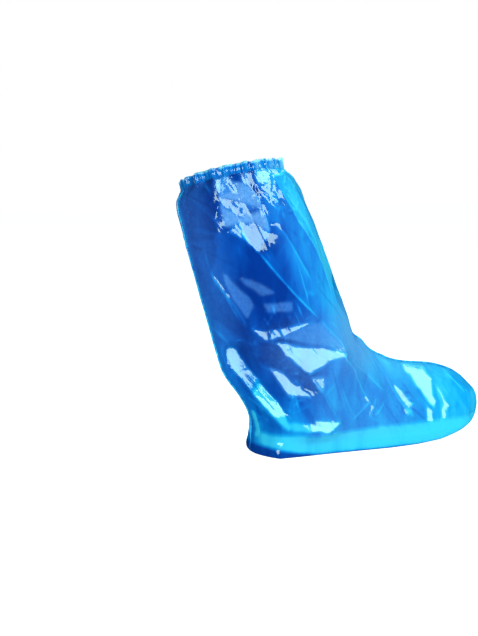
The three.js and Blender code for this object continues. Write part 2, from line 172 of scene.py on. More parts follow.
def smooth_wall(around, down, side):
    """around: 0 at the front seam, 1 at the back and sole seam. down: 0 rim, 1 ankle, 2 toe."""
    values = np.moveaxis(section_at(down), -1, 0)
    front_x, front_z, back_x, back_z, half, front_edge, back_edge, flat, rounding = values
    sine = np.sin(around * np.pi)
    edge = np.where(around < 0.5, front_edge, back_edge)
    round_height = (1 + np.cos(around * np.pi)) / 2
    round_width = sine * (1 - edge + edge * sine)
    over = np.clip(around / SOLE_CORNER_FROM, 0, 1) * np.pi / 2
    corner = np.clip((around - SOLE_CORNER_FROM) / (SOLE_FLAT_FROM - SOLE_CORNER_FROM), 0, 1) * np.pi / 2
    is_side = around < SOLE_CORNER_FROM
    side_height = mix(SOLE_CORNER_HEIGHT, 1, np.cos(over))
    side_width = np.sin(over) * (1 - front_edge + front_edge * np.sin(over))
    sole_height = np.where(is_side, side_height, SOLE_CORNER_HEIGHT * (1 - np.sin(corner)))
    sole_width = np.where(is_side, side_width, mix(SOLE_FLAT_WIDTH, 1, np.cos(corner)))
    under_foot = SOLE_FLAT_WIDTH * (1 - around) / (1 - SOLE_FLAT_FROM)
    sole_width = np.where(around >= SOLE_FLAT_FROM, under_foot, sole_width)
    height, width = mix(round_height, sole_height, flat), mix(round_width, sole_width, flat)
    x = mix(back_x, front_x, height) + rounding * width**2 * (1 - height)
    across = side * width * half
    points = np.stack([x, side * SEAM_SIDE + across, mix(back_z, front_z, height)], axis=-1)
    rolled = -across * math.tan(RIM_ROLL) * np.maximum(0.0, 1 - down)
    return points + rolled[..., None] * RIM_UP


# The folds are charted on a fine grid over the side view of a panel: along from the heel end and up from
# the sole.
PITCH = 0.001
GRID_FROM = np.array([-0.115, -0.01])
GRID_SIZE = (470, 400)
GRID_ALONG = (GRID_FROM[0] + PITCH * np.arange(GRID_SIZE[0]))[:, None] * 1000 + np.zeros(GRID_SIZE)
GRID_UP = (GRID_FROM[1] + PITCH * np.arange(GRID_SIZE[1]))[None, :] * 1000 + np.zeros(GRID_SIZE)


def grid_place(points):
    along = points[..., 0] + HEEL_TO_ORIGIN
    return (along - GRID_FROM[0]) / PITCH, (points[..., 2] - GRID_FROM[1]) / PITCH


def side_view(side):
    """How far the smooth panel stands out of the middle plane at each point of the grid."""
    around, down = np.meshgrid(np.linspace(0.0, 1.0, 1000), np.linspace(0.0, 2.0, 1600))
    points = smooth_wall(around, down, side)
    column, row = (np.rint(v).astype(int).ravel() for v in grid_place(points))
    width = np.zeros(GRID_SIZE)
    np.maximum.at(width, (column, row), side * points[..., 1].ravel())
    return width


def inside_outline(corners):
    """True where the grid is inside an outline given by its corners, by the even-odd rule."""
    inside = np.zeros(GRID_SIZE, bool)
    for (ax, az), (bx, bz) in zip(corners, corners[1:] + corners[:1]):
        if az == bz:
            continue
        crossing = ax + (GRID_UP - az) / (bz - az) * (bx - ax)
        inside ^= ((az > GRID_UP) != (bz > GRID_UP)) & (GRID_ALONG < crossing)
    return inside


# The facets between the folds of the outer panel. Corners are along and up in mm.
# turn: degrees that the facet faces towards the toe. tip: degrees that it faces up.
# tone: how much lighter or deeper its blue looks, as painted light and shade for the way the facet faces.
# haze: how much of the pale bloom of old folds it has, together with painted sheen.
OUTER_FACETS = [
    ("crushed patch under the hem", [(-66, 338), (-57, 343), (-45, 348), (-31, 345), (-19, 326), (-6, 290),
        (-9, 280), (-22, 296), (-36, 298), (-58, 294), (-63, 316)], -20, -2, 0.3, 0.75),
    ("pleats, back", [(-67, 352), (-56, 356), (-51, 355), (-44, 341), (-47, 336), (-59, 333), (-66, 331),
        (-69, 343)], -6, 12, 0.35, 0.25),
    ("pleats, middle", [(-38, 359), (-30, 360), (-29, 350), (-29, 342), (-36, 343), (-39, 350)],
        -6, 12, 0.35, 0.25),
    ("pleats, front", [(-21, 362), (-10, 363), (-2, 357), (-7, 346), (-18, 346), (-21, 355)],
        -6, 12, 0.35, 0.25),
    ("upper patch, high", [(-66, 329), (-53, 327), (-38, 324), (-15, 316), (-17, 312), (-31, 309),
        (-41, 305), (-45, 309), (-61, 317)], -6, 11, 0.3, 0.1),
    ("upper patch, large", [(-57, 288), (-48, 298), (-36, 299), (-24, 299), (-6, 288), (-7, 282), (-15, 273),
        (-22, 262), (-34, 277)], -6, 10, 0.35, 0),
    ("calf, back", [(-56, 237), (-51, 235), (-37, 218), (-25, 207), (-20, 197), (-27, 181), (-35, 193),
        (-44, 206), (-51, 222)], -20, 0, 0.18, 0.25),
    ("calf, middle", [(-39, 232), (-25, 229), (-11, 223), (3, 213), (-13, 210), (-20, 216), (-29, 222)],
        -14, 2, 0.18, 0.25),
    ("calf, low", [(-10, 199), (27, 201), (27, 189), (-4, 190)], -6, 3, 0.18, 0.25),
    ("dark band on the calf", [(-43, 229), (-28, 220), (-15, 210), (-12, 198), (-6, 193), (-14, 195),
        (-23, 207)], -36, -20, -0.1, 0),
    ("ankle streak, back", [(-23, 169), (-13, 167), (-2, 165), (1, 155), (-3, 151), (-9, 156)],
        -7, 16, 0.3, 0),
    ("ankle streak, front", [(1, 166), (24, 169), (49, 174), (58, 173), (41, 166), (9, 155), (1, 153)],
        -9, 16, 0.3, 0),
    ("over the triangle", [(12, 157), (57, 171), (69, 171), (83, 157), (103, 136), (62, 145), (31, 152)],
        4, -4, 0.1, 0.2),
    ("ankle triangle", [(8, 151), (25, 149), (36, 144), (60, 141), (99, 134), (106, 130), (102, 127),
        (80, 123), (53, 108), (46, 111), (31, 126), (18, 140)], -10, 17, 0.3, 0),
    ("dark band under the ankle", [(-10, 151), (7, 148), (33, 121), (54, 102), (64, 84), (49, 89), (29, 111),
        (3, 118), (-7, 126)], -22, -22, -0.15, 0),
    ("heel patch", [(6, 117), (22, 112), (35, 95), (55, 81), (57, 78), (28, 80), (21, 90)],
        -9, 18, 0.2, 0.2),
    ("fan under the triangle", [(56, 104), (74, 104), (73, 86), (66, 84)], -8, 14, 0.2, 0.2),
    ("heel band, high", [(-37, 128), (-33, 118), (-26, 106), (-16, 92), (-9, 82), (-1, 98), (-8, 108),
        (-16, 120), (-22, 130), (-26, 139), (-32, 142), (-37, 136)], -35, 13, 0.4, 0),
    ("heel band, low", [(-9, 82), (-3, 74), (11, 54), (23, 40), (29, 35), (31, 41), (27, 50), (25, 58),
        (18, 72), (8, 84), (-1, 98)], -35, 22, 0.7, 0),
    ("sole band", [(29, 40), (32, 47), (48, 44), (66, 42), (80, 37), (66, 33), (48, 34), (33, 35)],
        -12, 24, 0.5, 0),
    ("sole band, front", [(59, 48), (78, 45), (97, 43), (86, 35), (78, 30), (65, 34), (75, 38)],
        -12, 24, 0.4, 0),
    ("toe band", [(217, 101), (249, 99), (251, 87), (254, 80), (250, 44), (242, 48), (230, 73), (227, 85),
        (220, 90)], -15, 25, 0.3, 0),
    ("toe curl", [(257, 77), (262, 71), (267, 58), (270, 45), (268, 34), (259, 26), (254, 22), (258, 36),
        (261, 53), (258, 66)], -14, 22, 0.15, 0),
    ("under the toe band", [(238, 52), (242, 45), (244, 35), (245, 16), (237, 16), (235, 30), (236, 44)],
        -17, 20, 0.15, 0),
    ("toe wrinkles", [(196, 77), (205, 69), (208, 63), (211, 58), (214, 55), (213, 46), (214, 35), (210, 39),
        (203, 50), (198, 61), (193, 72)], -15, 20, 0.2, 0),
]

# The same for the inner panel, which hangs in fewer and larger folds
INNER_FACETS = [
    ("upper, back", [(-78, 330), (-50, 345), (-42, 318), (-58, 292), (-74, 300)], 10, 14, 0.1, 0),
    ("upper, middle", [(-38, 340), (-8, 346), (4, 312), (-20, 296), (-36, 310)], -4, 16, 0.12, 0),
    ("upper, front", [(12, 344), (34, 330), (44, 300), (26, 292), (10, 314)], -8, 10, 0.1, 0),
    ("calf, high", [(-56, 268), (-20, 280), (6, 262), (-16, 238), (-48, 244)], -12, 16, 0.1, 0),
    ("calf, long", [(-2, 232), (30, 244), (62, 222), (84, 188), (50, 196), (14, 206)], -6, 8, 0.08, 0),
    ("calf, low", [(-34, 214), (-4, 208), (12, 178), (-12, 166), (-30, 182)], 12, 10, 0.08, 0),
    ("ankle", [(20, 172), (66, 178), (98, 150), (84, 128), (46, 130), (22, 148)], -8, 18, 0.12, 0),
    ("heel", [(-20, 140), (2, 130), (24, 92), (22, 60), (4, 70), (-10, 104)], 24, 4, 0.12, 0),
    ("arch", [(48, 112), (92, 104), (112, 72), (84, 52), (54, 70)], -4, 18, 0.1, 0),
    ("side of the foot", [(126, 96), (160, 92), (176, 62), (150, 42), (124, 58)], -8, 20, 0.1, 0),
    ("toe", [(206, 92), (230, 86), (240, 52), (222, 36), (208, 58)], -12, 24, 0.1, 0),
    ("toe end", [(250, 84), (266, 66), (270, 44), (256, 40), (250, 60)], -14, 20, 0.08, 0),
]

# Sharp creases. Points are along and up in mm, width is the half width and rise the height, both in mm.
# line: how much lighter the crease line itself is, by wear and painted highlight, or below zero how much
# deeper by
# painted shade. ahead and behind: painted light and shade beside it, on the side of the toe and of the heel,
# out to the reach in mm.
OUTER_CREASES = [
    ("shin, upper", [(-29, 343), (-16, 318), (-10, 301), (-6, 287)], 4, 1.2, 0.35, 0.1, -0.05, 8),
    ("shin, middle", [(-22, 266), (-17, 260), (-5, 246), (12, 227), (27, 212), (45, 195), (67, 176)],
        5, 1.8, 0.55, 0.22, 0.0, 14),
    ("shin, low", [(67, 176), (84, 159), (100, 145), (107, 132), (110, 128)], 4, 1.2, 0.3, 0.12, 0.05, 10),
    ("front flute", [(2, 356), (13, 331), (25, 314), (34, 298), (44, 289), (65, 263), (76, 240), (92, 205)],
        7, 2.6, 0.1, 0.22, -0.22, 14),
    ("second flute", [(-1, 297), (13, 286), (24, 270), (35, 253), (54, 226)], 5, 1.4, 0.3, -0.08, 0.12, 9),
    ("third flute", [(14, 340), (28, 322), (40, 309), (52, 296), (66, 276), (84, 240), (97, 208)],
        5, 1.2, 0.3, 0.1, -0.1, 7),
    ("back", [(-67, 240), (-60, 224), (-50, 208), (-43, 194), (-32, 177)], 3, 1.0, 0.25, 0.05, 0.1, 7),
    ("second back", [(-64, 233), (-54, 215), (-41, 196), (-29, 177), (-24, 167)],
        3, 1.0, 0.25, 0.05, 0.0, 6),
    ("arch", [(55, 105), (75, 76), (95, 47)], 3, 0.9, 0.2, 0.06, -0.06, 10),
    ("side wrinkle", [(173, 61), (162, 49), (153, 42)], 2.5, 0.7, 0.3, 0.0, 0.0, 5),
    ("second side wrinkle", [(160, 66), (152, 51), (146, 40)], 2.5, 0.7, 0.3, 0.0, 0.0, 5),
    ("third side wrinkle", [(150, 62), (136, 52), (118, 42)], 2.5, 0.7, 0.3, 0.0, 0.0, 5),
    ("toe", [(184, 93), (190, 73), (200, 54), (212, 35)], 3, 1.1, 0.25, 0.05, -0.1, 8),
    ("beside the toe band", [(231, 71), (241, 50), (247, 42)], 2.5, 0.8, -0.3, 0.0, -0.1, 6),
    ("heel", [(-12, 76), (-1, 66), (10, 53)], 3, 1.0, 0.2, 0.05, -0.05, 6),
    ("heel band", [(-20, 110), (-6, 92), (8, 72), (20, 54)], 1.5, -0.4, -0.3, 0.0, 0.0, 4),
    ("instep", [(120, 118), (150, 96), (176, 70)], 5, 0.9, 0.2, 0.1, 0.0, 10),
    ("hook beside the front", [(26, 316), (33, 313), (40, 323)], 3, 1.4, 0.7, 0.0, 0.0, 4),
    ("short band beside the front", [(2, 355), (14, 356), (27, 357)], 3.5, 1.6, 0.7, 0.0, 0.0, 4),
    ("heel corner", [(-3, 58), (0, 50), (3, 40), (4, 30), (1, 20)], 3, 1.4, 1.0, 0.1, 0.3, 3),
]

INNER_CREASES = [
    ("shin", [(-30, 344), (-12, 300), (14, 258), (44, 216), (78, 176)], 5, 1.6, 0.4, 0.15, 0.0, 14),
    ("front", [(10, 350), (30, 312), (56, 268), (88, 214)], 6, 2.0, 0.2, 0.15, -0.1, 12),
    ("back", [(-72, 300), (-60, 250), (-44, 206), (-24, 168)], 3, 1.0, 0.25, 0.05, 0.05, 8),
    ("calf", [(-50, 284), (-22, 262), (20, 250), (60, 232)], 4, 1.2, 0.25, 0.05, -0.05, 9),
    ("ankle", [(0, 160), (40, 128), (96, 112), (150, 100)], 4, 1.2, 0.25, 0.08, -0.05, 10),
    ("arch", [(20, 118), (60, 88), (110, 62), (150, 50)], 3, 0.9, 0.2, 0.05, -0.05, 9),
    ("toe", [(186, 94), (194, 70), (206, 46)], 3, 1.0, 0.25, 0.05, -0.08, 8),
    ("heel", [(-8, 96), (6, 72), (14, 48)], 3, 1.0, 0.2, 0.05, 0.0, 6),
]

# How strongly a facet keeps its plane, how closely the rest keeps to the smooth panel, and how far a fold
# may go
FACET_HOLD = 150.0
TIE = (PITCH / 0.045) ** 2
TIE_OUTSIDE = 10.0
PANEL_FROM = 0.010
SOLVER_STEPS = 420
MOST_RELIEF = 0.05
# Between the charted facets the film is broken into small ones, long along the leg
SMALL_FACETS = 230
SMALL_LENGTH = (1.2, 2.6)
SMALL_HOLD = 4.0
SMALL_TILT = 0.04
SMALL_TONE = 0.05


def small_facets(seed):
    """Which small facet each point of the grid is in, with the tilt and tone of each."""
    rng = np.random.default_rng(seed)
    seeds = rng.uniform((0, 0), GRID_SIZE, (SMALL_FACETS, 2))
    i, j = np.mgrid[0 : GRID_SIZE[0], 0 : GRID_SIZE[1]]
    nearest, cell = np.full(GRID_SIZE, 1e9), np.zeros(GRID_SIZE, int)
    for k, (x, z) in enumerate(seeds):
        across = (i - x) * math.cos(LEG_LEAN) + (j - z) * math.sin(LEG_LEAN)
        down = -(i - x) * math.sin(LEG_LEAN) + (j - z) * math.cos(LEG_LEAN)
        away = np.hypot(across, down / rng.uniform(*SMALL_LENGTH))
        cell = np.where(away < nearest, k, cell)
        nearest = np.minimum(nearest, away)
    return cell, rng.normal(0, SMALL_TILT, (SMALL_FACETS, 2)), rng.normal(0, SMALL_TONE, SMALL_FACETS)


def add_flows(grid, flow_x, flow_z, at_start=-1):
    """Adds what flows between neighbouring points of the grid to the point where it ends, and with the sign
    at_start to the point where it starts."""
    grid[:-1] += at_start * flow_x
    grid[1:] += flow_x
    grid[:, :-1] += at_start * flow_z
    grid[:, 1:] += flow_z
    return grid


def relief(width, facets, seed):
    """The least change of the panel's surface that gives every facet its own plane, found by conjugate
    gradients, with the tone (painted light and shade on the charted facets), haze and calm of the facets."""
    panel = width > PANEL_FROM
    slopes = [np.diff(width, axis=0), np.diff(width, axis=1)]
    wanted = [np.zeros(slope.shape) for slope in slopes]
    hold = [np.full(slope.shape, SMALL_HOLD) for slope in slopes]
    cell, tilt, cell_tone = small_facets(seed)
    ends = [(np.s_[:-1], np.s_[1:]), (np.s_[:, :-1], np.s_[:, 1:])]
    for axis, (low, high) in enumerate(ends):
        both = (cell[low] == cell[high]) & panel[low] & panel[high]
        count = np.maximum(np.bincount(cell[low][both], minlength=SMALL_FACETS), 1)
        mean = np.bincount(cell[low][both], slopes[axis][both], SMALL_FACETS) / count
        mean += tilt[:, axis] * PITCH
        wanted[axis][both] = mean[cell[low][both]] - slopes[axis][both]
    tone, haze, calm = np.where(panel, cell_tone[cell], 0), np.zeros(GRID_SIZE), np.zeros(GRID_SIZE)
    for _, corners, turn, tip, facet_light_and_shade, bloom_and_sheen in facets:
        inside = inside_outline(corners)
        # A charted facet's tone is painted light or shade, and its haze the bloom with painted sheen
        tone[inside], haze[inside], calm[inside] = facet_light_and_shade, bloom_and_sheen, 1 - bloom_and_sheen
        inside &= panel
        turn, tip = math.radians(turn), math.radians(tip)
        facing = (-math.tan(turn), -math.tan(tip) / math.cos(turn))
        for axis, (low, high) in enumerate(ends):
            both = inside[low] & inside[high]
            wanted[axis][both] = facing[axis] * PITCH - slopes[axis][both]
            hold[axis][both] = FACET_HOLD
    tie = np.where(panel, TIE, TIE_OUTSIDE)
    total = add_flows(tie.copy(), *hold, at_start=1)
    height = np.zeros(GRID_SIZE)
    rest = add_flows(np.zeros(GRID_SIZE), hold[0] * wanted[0], hold[1] * wanted[1])
    search = rest / total
    power = (rest * search).sum()
    for _ in range(SOLVER_STEPS):
        strain = [held * np.diff(search, axis=axis) for axis, held in enumerate(hold)]
        pulled = add_flows(tie * search, *strain)
        step = power / (search * pulled).sum()
        height += step * search
        rest -= step * pulled
        eased = rest / total
        new_power = (rest * eased).sum()
        search = eased + new_power / power * search
        power = new_power
    for _ in range(2):
        for grid in (tone, haze, calm):
            grid[1:-1] = (grid[:-2] + grid[1:-1] + grid[2:]) / 3
            grid[:, 1:-1] = (grid[:, :-2] + grid[:, 1:-1] + grid[:, 2:]) / 3
    return MOST_RELIEF * np.tanh(height / MOST_RELIEF), tone, haze, calm


# How fast a crease fades in and out along its length, and the width of its line (wear with painted
# highlight, or painted shade) in mm
CREASE_FADE = 7
CREASE_LINE_WIDTH = 0.9


def add_creases(height, tone, creases):
    """Adds the sharp creases to the height of the folds, and their lines, with painted light and shade
    beside them, to the tone.
    """
    for _, points, half_width, rise, line, ahead, behind, reach in creases:
        points = np.array(points, float)
        lengths = np.hypot(*np.diff(points, axis=0).T)
        run = np.concatenate([[0], np.cumsum(lengths)])
        nearest, side, fade = (np.full(GRID_SIZE, v) for v in (1e3, 0.0, 0.0))
        for (ax, az), (bx, bz), length, at in zip(points, points[1:], lengths, run):
            off_x, off_z = GRID_ALONG - ax, GRID_UP - az
            share = np.clip((off_x * (bx - ax) + off_z * (bz - az)) / length**2, 0, 1)
            off_x, off_z = off_x - share * (bx - ax), off_z - share * (bz - az)
            away = np.hypot(off_x, off_z)
            closer = away < nearest
            nearest = np.where(closer, away, nearest)
            side = np.where(closer, np.sign((bx - ax) * off_z - (bz - az) * off_x), side)
            place = (at + share * length) / run[-1]
            fade = np.where(closer, np.clip(np.minimum(place, 1 - place) * CREASE_FADE, 0, 1), fade)
        height += rise / 1000 * np.clip(1 - nearest / half_width, 0, 1) * fade
        # The line is lighter by wear and painted highlight, or deeper by painted shade; beside it lie
        # painted light and shade
        tone += line * np.exp(-((nearest / CREASE_LINE_WIDTH) ** 2)) * fade
        tone += np.where(side > 0, ahead, behind) * np.exp(-nearest / reach) * fade


def sample(grid, points):
    """The values of a grid at points of the panel."""
    column, row = grid_place(points)
    column = np.clip(column, 0, GRID_SIZE[0] - 1.001)
    row = np.clip(row, 0, GRID_SIZE[1] - 1.001)
    i, j = np.floor(column).astype(int), np.floor(row).astype(int)
    low = mix(grid[i, j], grid[i + 1, j], column - i)
    high = mix(grid[i, j + 1], grid[i + 1, j + 1], column - i)
    return mix(low, high, row - j)


def outward_of(points, side):
    normal = np.cross(np.gradient(points, axis=1), np.gradient(points, axis=0)) * -side
    return normal / np.maximum(np.linalg.norm(normal, axis=-1, keepdims=True), 1e-12)


# Where the film is crumpled most: along, up and spread in mm
CRUMPLES = [
    (-45, 335, 22), (-20, 325, 16), (20, 335, 16), (35, 92, 14), (205, 55, 10), (0, 45, 12), (-10, 170, 18),
]
# Short sharp creases: count, length, width, rise, where, and their direction with how far it strays
CRINKLES = [
    (260, (0.012, 0.05), (0.005, 0.016), (0.0001, 0.0005), None, (np.pi / 2, np.pi / 2)),
    (330, (0.006, 0.022), (0.003, 0.008), (0.0002, 0.0006), CRUMPLES, (np.pi / 2, np.pi / 2)),
    (110, (0.03, 0.11), (0.003, 0.006), (0.0003, 0.0008), None, (2.2, 0.45)),
]


def crinkles(rng, count, length, width, rise, zones, way):
    """Short sharp creases as heights on the grid."""
    height = np.zeros(GRID_SIZE)
    for _ in range(count):
        half_length = rng.uniform(*length) / 2 / PITCH
        half_width = rng.uniform(*width) / 2 / PITCH
        angle = rng.uniform(way[0] - way[1], way[0] + way[1])
        if zones is None:
            centre = rng.uniform((0, 0), GRID_SIZE)
        else:
            x, z, stray = zones[rng.integers(len(zones))]
            centre = (np.array([x, z]) / 1000 + rng.normal(0, stray / 1000, 2) - GRID_FROM) / PITCH
        size = rng.uniform(*rise) * rng.choice((-1, 1))
        reach = int(max(half_length, half_width)) + 2
        low = np.maximum(np.floor(centre).astype(int) - reach, 0)
        high = np.minimum(np.floor(centre).astype(int) + reach, GRID_SIZE)
        if (high <= low).any():
            continue
        i, j = np.mgrid[low[0] : high[0], low[1] : high[1]]
        dx, dz = i - centre[0], j - centre[1]
        along = np.abs(dx * math.cos(angle) + dz * math.sin(angle)) / half_length
        away = np.abs(-dx * math.sin(angle) + dz * math.cos(angle)) / half_width
        height[low[0] : high[0], low[1] : high[1]] += size * np.clip(1 - away - along**2, 0, 1)
    return height


# The pleats under the hem: widths in shares of the panel's, lengths and heights in metres
PLEATS = 90
PLEAT_WIDTH = (0.004, 0.014)
PLEAT_LENGTHS = (0.012, 0.02, 0.03, 0.05)
PLEAT_HEIGHT = 0.0018
PLEAT_DRIFT = 0.05
PLEAT_OPENS = 0.03


def pleats(rng, around, below_rim):
    """Short pleats that hang from the hem: their height, and their painted light and shade, lighter where
    they stand out and deeper where they sink in.
    """
    height, pleat_light_and_shade = np.zeros(around.shape), np.zeros(around.shape)
    for _ in range(PLEATS):
        place = rng.uniform(0, 1)
        reach = rng.uniform(*PLEAT_WIDTH)
        run = rng.choice(PLEAT_LENGTHS) * rng.uniform(0.8, 1.2)
        rise = rng.uniform(-PLEAT_HEIGHT, PLEAT_HEIGHT)
        drift = rng.uniform(-PLEAT_DRIFT, PLEAT_DRIFT)
        away = np.abs(around - place - drift * below_rim / 0.05) / (reach * (1 + below_rim / PLEAT_OPENS))
        pleat = np.clip(1 - away, 0, 1) * np.clip(1 - below_rim / run, 0, 1)
        height += rise * pleat
        pleat_light_and_shade += np.sign(rise) * pleat**2
    return height, pleat_light_and_shade


# How blue the film looks, as painted light and shade: lighter cyan where light comes through the film, at
# the edges, the foot and the toe, and deep blue where it is in shade in the core of the leg. around and
# down: centre of a zone on the panel, with its reach both ways. tone: 0 deep blue to 1 light cyan. haze:
# share of the pale bloom of old folds, and of painted sheen.
PAINTED_LIGHT_ZONES = [
    ("front edge of the leg", 0.04, 0.45, 0.13, 0.4, 0.9, 0.0),
    ("beside the front edge", 0.28, 0.4, 0.15, 0.35, 0.76, 0.1),
    ("ahead of the shin crease", 0.42, 0.28, 0.07, 0.2, 0.75, 0.1),
    ("core of the leg", 0.6, 0.4, 0.17, 0.42, 0.0, 0.0),
    ("back of the leg", 0.88, 0.4, 0.1, 0.4, 0.16, 0.15),
    ("back edge", 1.0, 0.5, 0.03, 0.5, 0.45, 0.2),
    ("front of the ankle", 0.15, 1.0, 0.15, 0.17, 0.75, 1.0),
    ("side of the ankle", 0.5, 0.95, 0.15, 0.12, 0.32, 0.3),
    ("back of the ankle", 0.75, 1.02, 0.1, 0.12, 0.12, 0.0),
    ("heel", 0.8, 1.2, 0.15, 0.1, 0.45, 0.0),
    ("side of the foot", 0.45, 1.35, 0.18, 0.2, 0.55, 0.25),
    ("instep", 0.1, 1.35, 0.14, 0.25, 0.85, 0.35),
    ("toe", 0.25, 1.85, 0.35, 0.2, 0.84, 0.0),
    ("low side", 0.7, 1.45, 0.06, 0.3, 0.7, 0.0),
    ("sole", 0.95, 1.5, 0.15, 0.5, 0.5, 0.0),
]
# A strip of painted light runs low on the side, where the film is drawn round the edge of the sole; under
# it, painted shade deepens the edge near the ground
STRIP_TOP = 0.033
STRIP_TOP_EDGE = 0.007
STRIP_FOOT_AT_HEEL = 0.012
STRIP_FOOT_EDGE = 0.006
STRIP_BACK = 0.97
STRIP_BACK_EDGE = 0.1
STRIP_COMES_DOWN = 0.07
STRIP_PAINTED_LIGHT = 1.0
UNDER_STRIP_FROM = 0.003
UNDER_STRIP_EDGE = 0.004
UNDER_STRIP_PAINTED_SHADE = 0.8


def painted_light_tones(points, around, down, on_foot):
    """The tone and haze of the smooth panel: the zones of painted light and shade, the strip of painted
    light and the painted shade along the edge under it.
    """
    total, tone, haze = (np.zeros(around.shape) for _ in range(3))
    for _, at_around, at_down, reach_around, reach_down, zone_tone, zone_haze in PAINTED_LIGHT_ZONES:
        weight = np.exp(-(((around - at_around) / reach_around) ** 2) - ((down - at_down) / reach_down) ** 2)
        weight += 1e-9
        total += weight
        tone += weight * zone_tone
        haze += weight * zone_haze
    tone, haze = tone / total, haze / total
    above = points[..., 2] + FILM
    heel_to_arch = np.clip((points[..., 0] + HEEL_TO_ORIGIN) / STRIP_COMES_DOWN, 0, 1)
    strip_foot = STRIP_FOOT_AT_HEEL * (1 - heel_to_arch)
    strip = np.clip((STRIP_TOP - above) / STRIP_TOP_EDGE, 0, 1) * on_foot
    strip *= np.clip((STRIP_BACK - around) / STRIP_BACK_EDGE, 0, 1)
    strip *= np.clip((above - strip_foot) / STRIP_FOOT_EDGE, 0, 1)
    tone = mix(tone, np.maximum(tone, STRIP_PAINTED_LIGHT), strip)
    # Painted shade deepens the film along the foot of the strip, near the ground
    under_strip = np.clip((strip_foot + UNDER_STRIP_FROM - above) / UNDER_STRIP_EDGE, 0, 1)
    return tone * (1 - UNDER_STRIP_PAINTED_SHADE * under_strip * on_foot), haze


def new_piece(name, points, faces, edges=()):
    mesh = bpy.data.meshes.new(name)
    mesh.from_pydata(np.reshape(points, (-1, 3)).tolist(), edges, faces)
    piece = bpy.data.objects.new(name, mesh)
    bpy.context.scene.collection.objects.link(piece)
    return piece


def add_attribute(mesh, name, kind, values):
    layer = mesh.attributes.new(name, kind, "POINT")
    key = "value" if kind == "FLOAT" else "vector"
    layer.data.foreach_set(key, np.asarray(values, np.float32).ravel())


PANEL_COLUMNS = 300
LEG_ROWS = 150
FOOT_ROWS = 165
FOOT_FADE = 20
# How far from the seams, the edge of the sole, the ground and the hem the folds die out
SEAM_CALM = 0.06
SOLE_CALM = 0.1
GROUND_CALM = 0.014
RIM_CALM = 0.006
# How much of the gathers a facet smooths away, and how much of the crumples it keeps
FACET_CALM = 0.85
FACET_CRUMPLES = 0.35
GATHERS = 19
GATHER_HEIGHT = 0.0012
GATHER_LENGTH = 0.062
HEM_HOLD = 0.008
# Crests get a painted highlight and hollows a painted shade
CREST_SHADING_RISE = 0.0007
CREST_HIGHLIGHT = 0.35
HOLLOW_SHADE = 0.2
# Raised pleats get a painted highlight and sunken ones a painted shade
PLEAT_HIGHLIGHT_AND_SHADE = 0.3


def panel_mesh(name, side, facets, creases, seed):
    leg_places, foot_places = np.linspace(0, 1, LEG_ROWS, endpoint=False), np.linspace(1, 2, FOOT_ROWS + 1)
    across_places = np.linspace(0, 1, PANEL_COLUMNS + 1)
    around, down = np.meshgrid(across_places, np.concatenate([leg_places, foot_places]))
    points = smooth_wall(around, down, side)
    normals = outward_of(points, side)
    on_foot = np.clip((down - 1) * FOOT_FADE, 0, 1)
    below_rim = down * LEG_LENGTH
    above_sole = np.clip((SOLE_CORNER_FROM + SEAM_CALM - around) / SOLE_CALM, 0, 1)
    above_ground = np.clip((points[..., 2] - GROUND_CALM) / GROUND_CALM, 0, 1)
    loose = np.clip(np.minimum(around, 1 - around) / SEAM_CALM, 0, 1)
    loose *= mix(1.0, above_sole, section_at(down)[..., 7])
    loose *= mix(1.0, above_ground, on_foot)

    rng = np.random.default_rng(seed)
    folds, facet_tone, facet_haze, calm = relief(side_view(side), facets, seed)
    add_creases(folds, facet_tone, creases)
    sideways = sample(folds, points) * loose * np.clip(below_rim / RIM_CALM, 0, 1)
    fine = sample(sum(crinkles(rng, *row) for row in CRINKLES), points) * loose
    hanging, pleat_light_and_shade = pleats(rng, around, below_rim)
    gathered = np.clip(1 - below_rim / GATHER_LENGTH, 0, 1) ** 1.5
    gathers = GATHER_HEIGHT * gathered * np.cos(GATHERS * np.pi * around) + hanging
    stir = 1 - FACET_CALM * sample(calm, points)
    rise = fine * mix(FACET_CRUMPLES, 1.0, stir)
    rise += gathers * mix(stir, 1.0, np.clip(1 - below_rim / HEM_HOLD, 0, 1))

    # The zones and the strip paint light and shade into the tone, and the haze carries painted sheen
    tone, haze = painted_light_tones(points, around, down, on_foot)
    # Painted highlight on the crests of the crinkles and painted shade in their hollows
    tone += CREST_HIGHLIGHT * np.clip(fine / CREST_SHADING_RISE, 0, 1) ** 2
    tone -= HOLLOW_SHADE * np.clip(-fine / CREST_SHADING_RISE, 0, 1) ** 2
    # The facets bring their painted light and shade, the pleats their painted highlight and shade
    tone += sample(facet_tone, points) * loose + PLEAT_HIGHLIGHT_AND_SHADE * np.clip(pleat_light_and_shade, -0.6, 1)
    haze += sample(facet_haze, points) * loose

    points = points + normals * rise[..., None]
    points[..., 1] += side * sideways
    points[..., 1] = side * np.maximum(SEAM_SIDE, side * points[..., 1])
    points[..., 2] = np.maximum(points[..., 2], -FILM)
    index = np.arange(around.size).reshape(around.shape)
    quads = np.stack([index[:-1, :-1], index[:-1, 1:], index[1:, 1:], index[1:, :-1]], axis=-1)
    piece = new_piece(name, points, quads[:, :, :: -1 if side > 0 else 1].reshape(-1, 4).tolist())
    piece.data.shade_smooth()
    add_attribute(piece.data, "tone", "FLOAT", np.clip(tone, 0, 1))
    add_attribute(piece.data, "haze", "FLOAT", np.clip(haze, 0, 1))
    return piece


def node(tree, kind, inputs={}, **settings):
    """A node with its settings. Each input is linked to a socket or set to a value."""
    made = tree.nodes.new(kind)
    for name, value in settings.items():
        setattr(made, name, value)
    for name, value in inputs.items():
        if isinstance(value, bpy.types.NodeSocket):
            tree.links.new(value, made.inputs[name])
        else:
            made.inputs[name].default_value = value
    return made


